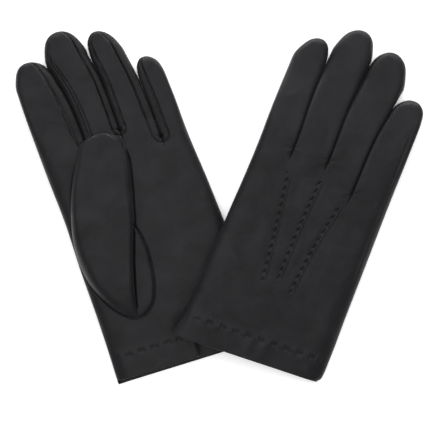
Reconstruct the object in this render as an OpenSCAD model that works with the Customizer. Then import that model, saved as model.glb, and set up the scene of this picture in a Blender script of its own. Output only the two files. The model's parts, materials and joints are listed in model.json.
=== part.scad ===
// A pair of lined leather dress gloves, laid on a table.
// The left glove lies palm up. The right glove lies palm down, with its wrist on the left one.
//
// Each glove is drawn in its own flat frame: u runs across the hand, from the index side to the
// little finger, v runs from the wrist to the fingertips, and z is height over the table.
// The same numbers serve both gloves, because a left glove seen from its palm and a right glove
// seen from its back have one outline.

/* [Hand] */
// Half the width of the wrist edge
wrist_half = 56.5; // [50:0.5:64]
// Half the width across the knuckles
knuckle_half = 51.7; // [46:0.1:58]
// Height of the glove at its wrist edge
wrist_thick = 8.6; // [8:0.1:11]
// Height of the glove at the palm
hand_thick = 11; // [9:0.5:14]
// Where the hand ends and the finger roots begin, from the wrist edge
root_v = 150; // [140:1:152]
// Depth of the turned hem
hem_depth = 16; // [10:1:20]

/* [Leather] */
// Thickness of the leather
leather = 0.8; // [0.6:0.05:1.1]
// Thickness of the knitted lining
lining = 0.7; // [0.5:0.05:1]
// Space between two pieces that lie on each other
slip = 0.15; // [0.1:0.05:0.3]
// Space between two fingers
finger_gap = 1; // [0.6:0.1:1.6]

/* [Fingers] */
// Height of a finger
finger_thick = 12; // [10:0.5:14]
// Where the index, middle and ring fingers bend
bend_v = 184; // [180:1:190]
// Where the little finger bends
little_bend_v = 171; // [166:1:176]
// How far the left glove's fingers roll towards the little finger
left_roll = 8.6; // [0:0.2:9]

/* [Thumb] */
// Width of the thumb at its middle
thumb_width = 44.6; // [38:0.2:50]
// Length of the thumb from its pivot
thumb_length = 111; // [95:1:118]
// Height of the left thumb, which lies on the palm
left_thumb_thick = 9.5; // [8:0.5:13]
// Height of the right thumb, which lies pressed under the palm
right_thumb_thick = 6; // [5.8:0.1:7]
// Lean of the thumb towards the little finger
thumb_lean = 15.7; // [5:0.1:20]

/* [Sewing] */
// Height of a pointing tuck on the back
tuck_high = 0.8; // [0.5:0.1:1.2]
// Width of a pointing tuck
tuck_wide = 1.6; // [1:0.1:2.5]
// Distance between two hem stitches
hem_pitch = 9.5; // [7:0.5:12]
// Length of one hem stitch
hem_stitch = 6; // [4:0.5:6.5]

/* [Pair] */
// Turn of the left glove on the table
left_turn = 17.2; // [10:0.2:25]
// Turn of the right glove on the table
right_turn = -19.4; // [-25:0.2:-10]
// Lift of the right glove's index side, which rests on its thumb and on the left glove
right_rise = 17; // [16.6:0.1:20]
// How much shorter the right glove's wrist is laid
right_drawn_up = 6; // [0:0.5:8]

/* [Hidden] */
GLOVES = ["left", "right"];
HAND_PARTS = ["trank", "hand_lining", "thumb_base", "hem_thread", "back_points",
              "crotch_index_middle", "crotch_middle_ring", "crotch_ring_little"];
FINGERS = ["index", "middle", "ring", "little"];
FINGER_PARTS = ["root", "leather", "fourchettes", "lining"];
THUMB_PARTS = ["thumb_leather", "thumb_lining"];

// Left glove first, then right.
palm_side = [1, -1];
turn = [left_turn, right_turn];
place = [[-15.8, -108.7], [19.5, -111.8]];
sideways = [-0.06, 0.042];
wrist_v = [0, right_drawn_up];
roll = [left_roll, 0];
thumb_thick = [left_thumb_thick, right_thumb_thick];

// Each gap between fingers: u at the root, u at the top, v where it starts to move and v of the top.
GAPS = [[-27.3, -24.9, 200, 226], [0, 4.6, 200, 230], [24.9, 31, 180, 212]];
// Each fingertip: u, v, and the v of the shoulder where the rounding begins.
TIPS = [[-37.5, 237, 220], [-10.5, 251.7, 229], [15.2, 244, 222], [41.1, 217, 203]];
BENDS = [bend_v, bend_v, bend_v, little_bend_v];
// The three rows of pointing on the back: from the knuckles to the wrist.
ROWS = [[[-22.6, 137.7], [-11.8, 62.8]], [[0.2, 139.5], [-1.8, 68.1]], [[19.8, 128.8], [9.7, 60.1]]];
// The oval hole in the palm for the thumb: its middle and its two half sizes.
hole_at = [-25, 84];
hole_half = [17, 34];
base_rim = 4;
vent_u = 4.5;
vent_long = 30;
vent_wide = 1.6;
thumb_pivot = [-33, 66];
thumb_start = 18;
thumb_shoulder = thumb_length - 23;
thumb_root_half = 0.415 * thumb_width;
thumb_neck_half = 0.45 * thumb_width;
thumb_over_palm = 0.7;
widening = knuckle_half / 51.7;   // the gaps and the fingertips spread with the knuckles
rise = right_rise + 1.4 * (leather + right_thumb_thick - 6.8) + 2 * (widening - 1);
belly = 0.32;     // share of the height that lies under a section's widest line
flatness = 0.62;  // under 1 makes a section squarer than an ellipse
bend_gap = 0.3;
seam_low = 45;    // a palm panel spans these angles of a finger's section
seam_high = 135;
around = 22.5;
tip_steps = [22, 44, 64, 80];
tip_blunt = 1.1;
leather_black = [0.05, 0.05, 0.055];
fourchette_black = [0.07, 0.07, 0.075];
lining_grey = [0.12, 0.12, 0.13];
thread_black = [0.02, 0.02, 0.02];

function smooth(a, b, x) = let (t = min(1, max(0, (x - a) / (b - a)))) t * t * (3 - 2 * t);
function mix(a, b, t) = a + (b - a) * t;
function signed_power(x, p) = sign(x) * pow(abs(x), p);

function hand_half(v) = mix(wrist_half, knuckle_half, smooth(0, root_v, v));
function hand_high(v) = mix(wrist_thick, hand_thick, smooth(0, 70, v));

// Height of the underside over the table. The left glove lies on its tucks and fingers, and the
// right one slopes from its index side, with its fingertips down on the table.
function under(g, u, v) = g == 0
    ? tuck_high * (smooth(20, 40, v) - smooth(145, 180, v))
    : rise * (0.5 - u / (2 * knuckle_half)) * (1 - smooth(160, 222, v));

// A point of the flat frame, leaned sideways and laid on what is under it.
function lay(g, u, v, z) = [u + sideways[g] * v, v, z + under(g, u, v)];

// One point of a section: its middle, half width, lowest and highest point, and angle from +u.
function section_z(low, high, angle) =
    let (widest = mix(low, high, belly), s = pow(abs(sin(angle)), flatness))
    sin(angle) >= 0 ? mix(widest, high, s) : mix(widest, low, min(1, 1.12 * s));
function section(g, middle, half, low, high, v, angle) =
    lay(g, middle + half * signed_power(cos(angle), flatness), v, section_z(low, high, angle));

// The angles from one to another, in steps. The palm panel is the upper one on the left glove.
function angles(g, from, to) = [for (a = [from : around : to]) palm_side[g] * a];

function gap_u(g, i, v) =
    widening * mix(GAPS[i][0] + roll[g], GAPS[i][1], smooth(GAPS[i][2], GAPS[i][3], v));
function finger_left(g, i, v) = i == 0 ? -hand_half(v) : gap_u(g, i - 1, v) + finger_gap / 2;
function finger_right(g, i, v) = i == 3 ? hand_half(v) : gap_u(g, i, v) - finger_gap / 2;

// A finger's stations as [v, middle, half width, share of the height]: straight up to the
// shoulder, and then round to the tip.
function straight_stations(g, i, vs) = [for (v = vs)
    let (a = finger_left(g, i, v), b = finger_right(g, i, v)) [v, (a + b) / 2, (b - a) / 2, 1]];
function tip_stations(last, tip) = [for (a = tip_steps)
    [mix(last[0], tip[1], sin(a)), mix(last[1], widening * tip[0], sin(a)),
     max(tip_blunt, last[2] * cos(a)), pow(cos(a), 0.55)]];
function finger_stations(g, i) =
    let (low = BENDS[i] + bend_gap / 2, high = TIPS[i][2],
         body = straight_stations(g, i, [low, mix(low, high, 0.35), mix(low, high, 0.7), high]))
    concat(body, tip_stations(body[3], TIPS[i]));

// The surface of a set of stations, taken in by a margin on every side. The tip is taken in too.
function skin(g, stations, high, turns, margin) =
    let (first = stations[0][0], last = stations[len(stations) - 1][0],
         squeeze = (last - first - (len(stations) > 4 ? margin : 0)) / (last - first))
    [for (s = stations)
        let (top = mix(belly, 1, s[3]) * high, bottom = (1 - s[3]) * belly * high,
             thin = min(margin, 0.42 * (top - bottom)), half = max(0.35, s[2] - margin),
             v = mix(first, s[0], squeeze))
        [for (a = turns) section(g, s[1], half, bottom + thin, top - thin, v, a)]];

// A closed sheet between two grids of points, as one row of faces on every side of it.
module sheet_between(outer, inner, g) {
    rows = len(outer);
    columns = len(outer[0]);
    count = rows * columns;
    function at(i, j, layer) = layer * count + i * columns + j;
    skins = [for (i = [0 : rows - 2], j = [0 : columns - 2]) each [
        [at(i, j, 0), at(i, j + 1, 0), at(i + 1, j + 1, 0), at(i + 1, j, 0)],
        [at(i, j, 1), at(i + 1, j, 1), at(i + 1, j + 1, 1), at(i, j + 1, 1)]]];
    edges = [for (i = [0 : rows - 2]) each [
        [at(i, 0, 0), at(i + 1, 0, 0), at(i + 1, 0, 1), at(i, 0, 1)],
        [at(i, columns - 1, 0), at(i, columns - 1, 1),
         at(i + 1, columns - 1, 1), at(i + 1, columns - 1, 0)]]];
    ends = [for (j = [0 : columns - 2]) each [
        [at(0, j, 0), at(0, j, 1), at(0, j + 1, 1), at(0, j + 1, 0)],
        [at(rows - 1, j, 0), at(rows - 1, j + 1, 0), at(rows - 1, j + 1, 1), at(rows - 1, j, 1)]]];
    oriented(concat([for (r = outer) each r], [for (r = inner) each r]), concat(skins, edges, ends), g);
}

// A tube between two grids whose rows go all the way round. It is open at its first row, and
// capped at its last one if closed is true.
module tube_between(outer, inner, g, closed) {
    rows = len(outer);
    n = len(outer[0]);
    count = rows * n;
    function at(i, j, layer) = layer * count + i * n + j % n;
    skins = [for (i = [0 : rows - 2], j = [0 : n - 1]) each [
        [at(i, j, 0), at(i, j + 1, 0), at(i + 1, j + 1, 0), at(i + 1, j, 0)],
        [at(i, j, 1), at(i + 1, j, 1), at(i + 1, j + 1, 1), at(i, j + 1, 1)]]];
    mouth = [for (j = [0 : n - 1]) [at(0, j, 0), at(0, j, 1), at(0, j + 1, 1), at(0, j + 1, 0)]];
    far = closed
        ? [[for (j = [0 : n - 1]) at(rows - 1, j, 0)], [for (j = [n - 1 : -1 : 0]) at(rows - 1, j, 1)]]
        : [for (j = [0 : n - 1])
            [at(rows - 1, j, 0), at(rows - 1, j + 1, 0), at(rows - 1, j + 1, 1), at(rows - 1, j, 1)]];
    oriented(concat([for (r = outer) each r], [for (r = inner) each r]), concat(skins, mouth, far), g);
}

// The right glove's sections run the other way round, so its faces turn over.
module oriented(points, faces, g) {
    polyhedron(points, palm_side[g] > 0 ? faces : [for (f = faces) [for (k = [len(f) - 1 : -1 : 0]) f[k]]]);
}

function full_turn(g, step) = [for (a = [0 : step : 360 - step]) palm_side[g] * a];

// Panels of a finger or of its root. The index finger's panel folds round its outer side.
module trank_panels(g, i, stations) {
    turns = i == 0 ? [[seam_low, 360]] : [[i == 3 ? 0 : seam_low, seam_high], [180, 360]];
    for (t = turns) {
        span = angles(g, t[0], t[1]);
        sheet_between(skin(g, stations, finger_thick, span, 0),
            skin(g, stations, finger_thick, span, leather), g);
    }
}

// The side strips of a finger, on the sides where it has a neighbour.
module side_strips(g, i, stations, sides) {
    for (side = sides) {
        span = side > 0 ? angles(g, 0, seam_low) : angles(g, seam_high, 180);
        sheet_between(skin(g, stations, finger_thick, span, 0),
            skin(g, stations, finger_thick, span, leather), g);
    }
}

function root_stations(g, i) = straight_stations(g, i,
    [root_v + bend_gap, mix(root_v, BENDS[i], 0.5), BENDS[i] - bend_gap / 2]);
function hand_stations(g) = [for (v = [wrist_v[g], wrist_v[g] + hem_depth - 0.1, wrist_v[g] + hem_depth + 0.1,
    45, 75, 110, root_v]) [v, 0, hand_half(v), hand_high(v)]];

// The hand's surface, taken in by a margin that the hem doubles near the wrist.
function hand_skin(g, turns, margin, hem_margin) = [for (s = hand_stations(g))
    let (m = s[0] < wrist_v[g] + hem_depth ? hem_margin : margin)
    [for (a = turns) section(g, s[1], s[2] - m, m, s[3] - m, s[0], a)]];

// Height over the glove's own underside of the hand's upper or lower face at a point.
function face_z(u, v, side) =
    let (c = min(1, pow(abs(u) / hand_half(v), 1 / flatness)), angle = side * acos(c))
    section_z(0, hand_high(v), angle);
function on_face(g, p, side, lift) = lay(g, p[0], p[1], face_z(p[0], p[1], side) + side * lift);

module vent_and_hole(g) {
    up = palm_side[g];
    z = up > 0 ? hand_thick / 2 : -hand_thick;
    tall = 2.4 * hand_thick;
    translate([vent_u, wrist_v[g] - 1, z]) cube([vent_wide, vent_long + 1, tall]);
    translate([hole_at[0] + sideways[g] * hole_at[1], hole_at[1],
               z + under(g, hole_at[0], hole_at[1]) * (1 - up) / 2])
        linear_extrude(up > 0 ? tall : 1.45 * hand_thick)
        polygon([for (a = [0 : 15 : 345]) [hole_half[0] * cos(a), hole_half[1] * sin(a)]]);
}

// The main leather piece, with its hem turned in. Its finger roots are cut here and drawn apart.
module trank(g) color(leather_black) {
    difference() {
        tube_between(hand_skin(g, full_turn(g, 15), 0, 0),
            hand_skin(g, full_turn(g, 15), leather, 2 * leather), g, false);
        vent_and_hole(g);
    }
}
module finger_root(g, i) color(leather_black) trank_panels(g, i, root_stations(g, i));

// The lining bag's hand, which starts behind the hem, and its finger roots.
function lining_skin(g, margin) =
    [for (s = hand_stations(g)) if (s[0] > wrist_v[g] + hem_depth) [for (a = full_turn(g, 15))
        section(g, s[1], s[2] - margin, margin, s[3] - margin, s[0], a)]];
module hand_lining(g) color(lining_grey) {
    gap = leather + slip;
    turns = full_turn(g, around);
    difference() {
        tube_between(lining_skin(g, gap), lining_skin(g, gap + lining), g, false);
        vent_and_hole(g);
    }
    for (i = [0 : 3]) tube_between(skin(g, root_stations(g, i), finger_thick, turns, gap),
        skin(g, root_stations(g, i), finger_thick, turns, gap + lining), g, false);
}

// The collar of the thumb piece, which lies round its hole in the palm.
function collar(g, grow, lift) = [for (a = [0 : 15 : 345]) on_face(g,
    [hole_at[0] + (hole_half[0] + grow) * cos(a), hole_at[1] + (hole_half[1] + grow) * sin(a)],
    palm_side[g], lift)];
module thumb_base(g) color(leather_black) {
    up = palm_side[g];
    loops = [collar(g, base_rim, slip), collar(g, base_rim, slip + leather),
             collar(g, 0.5, slip + leather), collar(g, 0.5, slip)];
    n = len(loops[0]);
    faces = [for (k = [0 : 3], j = [0 : n - 1])
        [k * n + j, k * n + (j + 1) % n, (k + 1) % 4 * n + (j + 1) % n, (k + 1) % 4 * n + j]];
    polyhedron([for (l = loops) each l], up > 0 ? [for (f = faces) [f[3], f[2], f[1], f[0]]] : faces);
}

// Running stitches that hold the hem, on the upper side of the wrist.
module hem_thread(g) color(thread_black) {
    v = wrist_v[g] + hem_depth - 0.6;
    reach = floor(0.86 * wrist_half / hem_pitch);
    for (k = [-reach : reach])
        if (g == 1 || abs((k + 0.5) * hem_pitch - vent_u) > hem_stitch / 2 + vent_wide) {
            p = on_face(g, [(k + 0.5) * hem_pitch, v], 1, slip);
            next = on_face(g, [(k + 0.5) * hem_pitch + 1, v], 1, slip);
            tilt = atan(next[2] - p[2]);
            translate([p[0], p[1], p[2] + 0.2]) rotate([0, -tilt, 0]) cube([hem_stitch, 0.8, 0.4], center = true);
        }
}

// Three raised tucks on the back of the hand.
function tuck_side(row) =
    [row[0][1] - row[1][1], row[1][0] - row[0][0]] / norm(row[0] - row[1]) * tuck_wide / 2;
function tuck_grid(g, row, lift) = [for (t = [0 : 0.125 : 1]) [for (side = [1, -1])
    on_face(g, mix(row[1], row[0], t) + side * tuck_side(row), -palm_side[g], lift)]];
module back_points(g) color(thread_black) {
    for (row = ROWS)
        sheet_between(tuck_grid(g, row, tuck_high * 0.97), tuck_grid(g, row, 0.05), 1 - g);
}

// The foot of a forked side strip, between two finger roots.
module crotch(g, i) color(fourchette_black) {
    side_strips(g, i, root_stations(g, i), [1]);
    side_strips(g, i + 1, root_stations(g, i + 1), [-1]);
}

module finger_leather(g, i) color(leather_black) trank_panels(g, i, finger_stations(g, i));
module finger_fourchettes(g, i) color(fourchette_black)
    side_strips(g, i, finger_stations(g, i), i == 0 ? [1] : i == 3 ? [-1] : [-1, 1]);
module finger_lining(g, i) color(lining_grey) {
    turns = full_turn(g, around);
    stations = finger_stations(g, i);
    tube_between(skin(g, stations, finger_thick, turns, leather + slip),
        skin(g, stations, finger_thick, turns, leather + slip + lining), g, true);
}

// The thumb in its own line: r from the pivot, x across. It lies on the palm, or under it.
function thumb_point(g, r, x, z) =
    let (u = thumb_pivot[0] + r * sin(thumb_lean) + x * cos(thumb_lean),
         v = thumb_pivot[1] + r * cos(thumb_lean) - x * sin(thumb_lean))
    g == 0 ? [u + sideways[0] * v, v, max(finger_thick, hand_thick + 1) + tuck_high + thumb_over_palm + z]
           : lay(1, u, v, z - thumb_thick[1] - leather - 2 * slip - 0.3);
thumb_body = [[thumb_start, thumb_root_half], [0.36 * thumb_length, 0.49 * thumb_width],
              [0.58 * thumb_length, thumb_width / 2], [thumb_shoulder, thumb_neck_half]];
thumb_stations = concat([for (s = thumb_body) [s[0], s[1], 1]],
    [for (a = tip_steps) [mix(thumb_shoulder, thumb_length, sin(a)),
        max(tip_blunt, thumb_neck_half * cos(a)), pow(cos(a), 0.55)]]);
function thumb_skin(g, margin) = [for (s = thumb_stations)
    let (high = thumb_thick[g], top = mix(belly, 1, s[2]) * high, bottom = (1 - s[2]) * belly * high,
         thin = min(margin, 0.42 * (top - bottom)), half = max(0.35, s[1] - margin),
         r = mix(thumb_start, s[0], (thumb_length - thumb_start - margin) / (thumb_length - thumb_start)))
    [for (a = full_turn(0, around)) thumb_point(g, r, half * signed_power(cos(a), flatness),
        section_z(bottom + thin, top - thin, a))]];
module thumb_leather(g) color(leather_black) tube_between(thumb_skin(g, 0), thumb_skin(g, leather), 0, true);
module thumb_lining(g) color(lining_grey)
    tube_between(thumb_skin(g, leather + slip), thumb_skin(g, leather + slip + lining), 0, true);

// Draws a part of one glove where that glove lies, if it is asked for.
module show(g, name) {
    translate([place[g][0], place[g][1], 0]) rotate([0, 0, turn[g]]) children();
}

for (g = [0, 1]) {
    show(g, "trank") trank(g);
    show(g, "hand_lining") hand_lining(g);
    show(g, "thumb_base") thumb_base(g);
    show(g, "hem_thread") hem_thread(g);
    show(g, "back_points") back_points(g);
    for (i = [0 : 2]) show(g, str("crotch_", FINGERS[i], "_", FINGERS[i + 1])) crotch(g, i);
    for (i = [0 : 3]) {
        show(g, str(FINGERS[i], "_root")) finger_root(g, i);
        show(g, str(FINGERS[i], "_leather")) finger_leather(g, i);
        show(g, str(FINGERS[i], "_fourchettes")) finger_fourchettes(g, i);
        show(g, str(FINGERS[i], "_lining")) finger_lining(g, i);
    }
    show(g, "thumb_leather") thumb_leather(g);
    show(g, "thumb_lining") thumb_lining(g);
}
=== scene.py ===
# %% [markdown]
# # A pair of black leather dress gloves
# The left-hand glove lies palm up with its thumb folded over the palm. The right-hand glove lies
# back up, with its wrist crossed over the left one. Each glove is cut from one main skin (the
# trank), with forked strips between the fingers (fourchettes), a set-in thumb and a knitted lining.
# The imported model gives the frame: where each glove lies, where each finger bends, and how large
# the whole is. Every piece below is drawn in a glove's own flat pattern and then laid in place.

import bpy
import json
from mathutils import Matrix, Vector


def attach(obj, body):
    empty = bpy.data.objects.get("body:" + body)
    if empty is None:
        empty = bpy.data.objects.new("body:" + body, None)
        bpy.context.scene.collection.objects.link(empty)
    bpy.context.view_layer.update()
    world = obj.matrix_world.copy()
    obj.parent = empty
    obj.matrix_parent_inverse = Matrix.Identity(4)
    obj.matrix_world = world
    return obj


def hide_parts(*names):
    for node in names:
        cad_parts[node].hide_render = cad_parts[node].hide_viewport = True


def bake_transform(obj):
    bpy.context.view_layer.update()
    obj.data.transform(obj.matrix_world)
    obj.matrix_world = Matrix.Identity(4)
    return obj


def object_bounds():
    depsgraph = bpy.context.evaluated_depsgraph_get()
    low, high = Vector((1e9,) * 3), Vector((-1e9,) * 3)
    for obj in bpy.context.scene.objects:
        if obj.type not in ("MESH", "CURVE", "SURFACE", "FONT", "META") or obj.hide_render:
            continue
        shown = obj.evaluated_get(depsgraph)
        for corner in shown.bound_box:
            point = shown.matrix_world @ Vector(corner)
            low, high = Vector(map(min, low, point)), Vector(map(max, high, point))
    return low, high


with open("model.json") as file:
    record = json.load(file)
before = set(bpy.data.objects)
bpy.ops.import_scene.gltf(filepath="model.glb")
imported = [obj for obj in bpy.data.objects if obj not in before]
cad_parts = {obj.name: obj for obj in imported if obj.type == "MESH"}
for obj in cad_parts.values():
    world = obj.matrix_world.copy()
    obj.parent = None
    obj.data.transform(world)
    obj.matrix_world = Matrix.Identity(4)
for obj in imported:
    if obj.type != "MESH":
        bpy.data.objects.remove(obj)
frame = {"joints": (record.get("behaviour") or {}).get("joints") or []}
cad_low, cad_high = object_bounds()
print("CAD box in mm:", [round(1000 * (b - a), 1) for a, b in zip(cad_low, cad_high)])

# %% Libraries
import json
import math

import bmesh
import bpy
import numpy as np
from mathutils import Vector

MM = 0.001
GLOVES = ("left", "right")
FINGERS = ("index", "middle", "ring", "little")
joints = {joint["name"]: joint for joint in frame["joints"]}

# %% [markdown]
# ## Camera, light and table
# The camera looks straight down, as a catalogue picture of gloves is taken. The light is a large
# white tent: a bright world, one wide lamp overhead and one long lamp beyond the fingertips, which
# puts the soft shine on the end of every finger. A black skin shows its shape only by what it
# mirrors, so the lamps are wide and low in contrast.

# %% Camera
CAMERA_HEIGHT = 0.861
VIEW_SHIFT = (0.0004, -0.005)
camera_data = bpy.data.cameras.new("camera")
camera_data.lens = 100
camera_data.sensor_width = 36
camera = bpy.data.objects.new("camera", camera_data)
camera.location = (VIEW_SHIFT[0], VIEW_SHIFT[1], CAMERA_HEIGHT)
bpy.context.scene.collection.objects.link(camera)
bpy.context.scene.camera = camera
print("camera", CAMERA_HEIGHT, "m over the table")


# %% Lamps
def lamp(name, place, size, power):
    """A wide soft lamp that faces the middle of the pair."""
    data = bpy.data.lights.new(name, "AREA")
    data.shape = "RECTANGLE"
    data.size, data.size_y = size
    data.energy = power
    light = bpy.data.objects.new(name, data)
    light.location = place
    light.rotation_euler = (-Vector(place)).to_track_quat("-Z", "Y").to_euler()
    bpy.context.scene.collection.objects.link(light)


TENT_STRENGTH = 0.5
lamp("overhead_lamp", (-0.08, 0.08, 1.3), (2.2, 2.0), 21)
lamp("far_lamp", (0.1, 0.95, 0.27), (1.3, 0.14), 14)
world = bpy.data.worlds.new("white_tent")
world.use_nodes = True
world.node_tree.nodes["Background"].inputs["Color"].default_value = (1, 1, 1, 1)
world.node_tree.nodes["Background"].inputs["Strength"].default_value = TENT_STRENGTH
bpy.context.scene.world = world
bpy.context.scene.view_settings.view_transform = "Standard"
print("lamps and a white world")

# %% [markdown]
# ## Finishes
# Glove leather is a thin, smooth, dyed lamb skin. Close up it has tiny pebbles with fine lines
# between them, and from arm's length a cloudy patchiness where the skin was stretched or pressed.
# A picture of leather could be wrapped round the gloves, but it would stretch at every fold, and a
# rule of noise and cells stays sharp from any distance. Both effects are used by several materials,
# so each is a shader node group with its own inputs.

# %% Helpers for shader nodes
def new_group(name, inputs, outputs):
    """An empty shader node group with the named sockets; returns it with its two end nodes."""
    group = bpy.data.node_groups.new(name, "ShaderNodeTree")
    for label, value in inputs:
        socket = group.interface.new_socket(label, in_out="INPUT", socket_type="NodeSocketFloat")
        socket.default_value = value
    for label in outputs:
        group.interface.new_socket(label, in_out="OUTPUT", socket_type="NodeSocketFloat")
    return group, group.nodes.new("NodeGroupInput"), group.nodes.new("NodeGroupOutput")


def add(tree, kind, settings=None, **values):
    """Adds a node, sets its options and puts numbers on its sockets."""
    node = tree.nodes.new(kind)
    for key, value in (settings or {}).items():
        setattr(node, key, value)
    for key, value in values.items():
        node.inputs[key.replace("_", " ")].default_value = value
    return node


def math_node(tree, operation, a, b, clamp=False):
    """A Math node; a and b are numbers or sockets."""
    node = tree.nodes.new("ShaderNodeMath")
    node.operation = operation
    node.use_clamp = clamp
    for socket, value in zip(node.inputs, (a, b)):
        if isinstance(value, (int, float)):
            socket.default_value = value
        else:
            tree.links.new(value, socket)
    return node.outputs[0]


# %% Grain: pebbles and pores of a fine skin
def make_grain():
    """Rounded cells with sunk lines between them, their places warped, and finer pores on top."""
    group, given, result = new_group(
        "skin_grain", [("Pebble Size", 0.0008), ("Roughness of Lines", 0.5)], ["Height"])
    links = group.links
    place = add(group, "ShaderNodeTexCoord")
    per_metre = math_node(group, "DIVIDE", 1.0, given.outputs["Pebble Size"])
    warp = add(group, "ShaderNodeTexNoise", Detail=2.0)
    links.new(place.outputs["Object"], warp.inputs["Vector"])
    links.new(math_node(group, "MULTIPLY", per_metre, 0.35), warp.inputs["Scale"])
    shift = add(group, "ShaderNodeVectorMath", {"operation": "SCALE"})
    links.new(warp.outputs["Color"], shift.inputs[0])
    links.new(math_node(group, "MULTIPLY", given.outputs["Pebble Size"], 1.6), shift.inputs["Scale"])
    moved = add(group, "ShaderNodeVectorMath", {"operation": "ADD"})
    links.new(place.outputs["Object"], moved.inputs[0])
    links.new(shift.outputs[0], moved.inputs[1])
    cells = add(group, "ShaderNodeTexVoronoi", {"feature": "DISTANCE_TO_EDGE"})
    links.new(moved.outputs[0], cells.inputs["Vector"])
    links.new(per_metre, cells.inputs["Scale"])
    pebble = add(group, "ShaderNodeMapRange", {"interpolation_type": "SMOOTHSTEP"}, From_Max=0.22)
    links.new(cells.outputs["Distance"], pebble.inputs["Value"])
    pores = add(group, "ShaderNodeTexNoise", Detail=3.0, Roughness=0.65)
    links.new(place.outputs["Object"], pores.inputs["Vector"])
    links.new(math_node(group, "MULTIPLY", per_metre, 1.7), pores.inputs["Scale"])
    fine = math_node(group, "MULTIPLY", pores.outputs["Fac"], given.outputs["Roughness of Lines"])
    links.new(math_node(group, "ADD", pebble.outputs["Result"], fine), result.inputs["Height"])
    return group


grain = make_grain()
print("group", grain.name)


# %% Clouding: patches where the skin was stretched, pressed and polished
def make_clouding():
    """A large soft noise around one half, stretched or flattened by its contrast."""
    group, given, result = new_group(
        "skin_clouding", [("Patch Size", 0.02), ("Contrast", 1.0)], ["Cloud"])
    links = group.links
    place = add(group, "ShaderNodeTexCoord")
    per_metre = math_node(group, "DIVIDE", 1.0, given.outputs["Patch Size"])
    large = add(group, "ShaderNodeTexNoise", Detail=4.0, Roughness=0.6, Distortion=0.6)
    links.new(place.outputs["Object"], large.inputs["Vector"])
    links.new(per_metre, large.inputs["Scale"])
    centred = math_node(group, "SUBTRACT", large.outputs["Fac"], 0.5)
    spread = math_node(group, "MULTIPLY", centred, given.outputs["Contrast"])
    links.new(math_node(group, "ADD", spread, 0.5, clamp=True), result.inputs["Cloud"])
    return group


clouding = make_clouding()
print("group", clouding.name)


# %% [markdown]
# ### The leather itself
# Black is never quite black: the clouding moves the colour between two dark greys and the
# roughness between a polished and a dry patch. The grain is a fine bump on top. A low, wide sheen
# gives the velvety edge that soft skin has.

# %% Leather materials
def blend_colour(tree, share, dark, light):
    """A colour between two shades, moved by a socket that gives 0 to 1."""
    node = tree.nodes.new("ShaderNodeMix")
    node.data_type = "RGBA"
    tree.links.new(share, node.inputs["Factor"])
    node.inputs["A"].default_value = (*dark, 1)
    node.inputs["B"].default_value = (*light, 1)
    return node.outputs["Result"]


def place_group(tree, group, **values):
    """Puts a node group into a material, with this material's own numbers."""
    node = tree.nodes.new("ShaderNodeGroup")
    node.node_tree = group
    for key, value in values.items():
        node.inputs[key.replace("_", " ")].default_value = value
    return node


def leather(name, dark, light, rough=(0.26, 0.44), pebble=0.0008, patch=0.017, bump=0.25):
    """Fine dyed glove skin between two shades, with grain and clouding."""
    material = bpy.data.materials.new(name)
    material.use_nodes = True
    tree = material.node_tree
    skin = tree.nodes["Principled BSDF"]
    skin.inputs["Specular IOR Level"].default_value = 0.11
    skin.inputs["Sheen Weight"].default_value = 0.02
    skin.inputs["Sheen Roughness"].default_value = 0.45
    cloud = place_group(tree, clouding, Patch_Size=patch, Contrast=2.2)
    pebbles = place_group(tree, grain, Pebble_Size=pebble, Roughness_of_Lines=0.5)
    tree.links.new(blend_colour(tree, cloud.outputs["Cloud"], dark, light), skin.inputs["Base Color"])
    dryness = add(tree, "ShaderNodeMapRange", To_Min=rough[1], To_Max=rough[0])
    tree.links.new(cloud.outputs["Cloud"], dryness.inputs["Value"])
    tree.links.new(dryness.outputs["Result"], skin.inputs["Roughness"])
    soft = add(tree, "ShaderNodeBump", Strength=0.5, Distance=0.0005)
    tree.links.new(cloud.outputs["Cloud"], soft.inputs["Height"])
    fine = add(tree, "ShaderNodeBump", Strength=bump, Distance=0.00012)
    tree.links.new(pebbles.outputs["Height"], fine.inputs["Height"])
    tree.links.new(soft.outputs["Normal"], fine.inputs["Normal"])
    tree.links.new(fine.outputs["Normal"], skin.inputs["Normal"])
    return material


glove_leather = leather("black_lamb_skin", (0.0066, 0.0066, 0.0075), (0.0116, 0.0116, 0.0131))
strip_leather = leather(
    "black_strip_skin", (0.0057, 0.0057, 0.0064), (0.0096, 0.0096, 0.0107), rough=(0.45, 0.62), patch=0.012)
print("leathers", glove_leather.name, strip_leather.name)


# %% [markdown]
# ### Jersey and thread
# The lining is a thin knit. Its loops are far smaller than anything seen at the wrist, so a wave of
# bands stands in for the columns of loops, and a bump from the same wave makes them round. Thread
# is two or more yarns twisted together: the same wave, laid diagonally and much finer.

# %% Lining and thread materials
def knit():
    """Fine black jersey: short columns of loops."""
    material = bpy.data.materials.new("black_jersey")
    material.use_nodes = True
    tree = material.node_tree
    cloth = tree.nodes["Principled BSDF"]
    cloth.inputs["Sheen Weight"].default_value = 0.25
    cloth.inputs["Sheen Roughness"].default_value = 0.6
    cloth.inputs["Specular IOR Level"].default_value = 0.2
    place = add(tree, "ShaderNodeTexCoord")
    loops = add(tree, "ShaderNodeTexWave", {"wave_type": "BANDS", "bands_direction": "X"},
                Scale=420.0, Distortion=2.0)
    tree.links.new(place.outputs["Object"], loops.inputs["Vector"])
    shade = blend_colour(tree, loops.outputs["Fac"], (0.006, 0.006, 0.007), (0.02, 0.02, 0.022))
    tree.links.new(shade, cloth.inputs["Base Color"])
    cloth.inputs["Roughness"].default_value = 0.85
    bump = add(tree, "ShaderNodeBump", Strength=0.5, Distance=0.0003)
    tree.links.new(loops.outputs["Fac"], bump.inputs["Height"])
    tree.links.new(bump.outputs["Normal"], cloth.inputs["Normal"])
    return material


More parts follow.
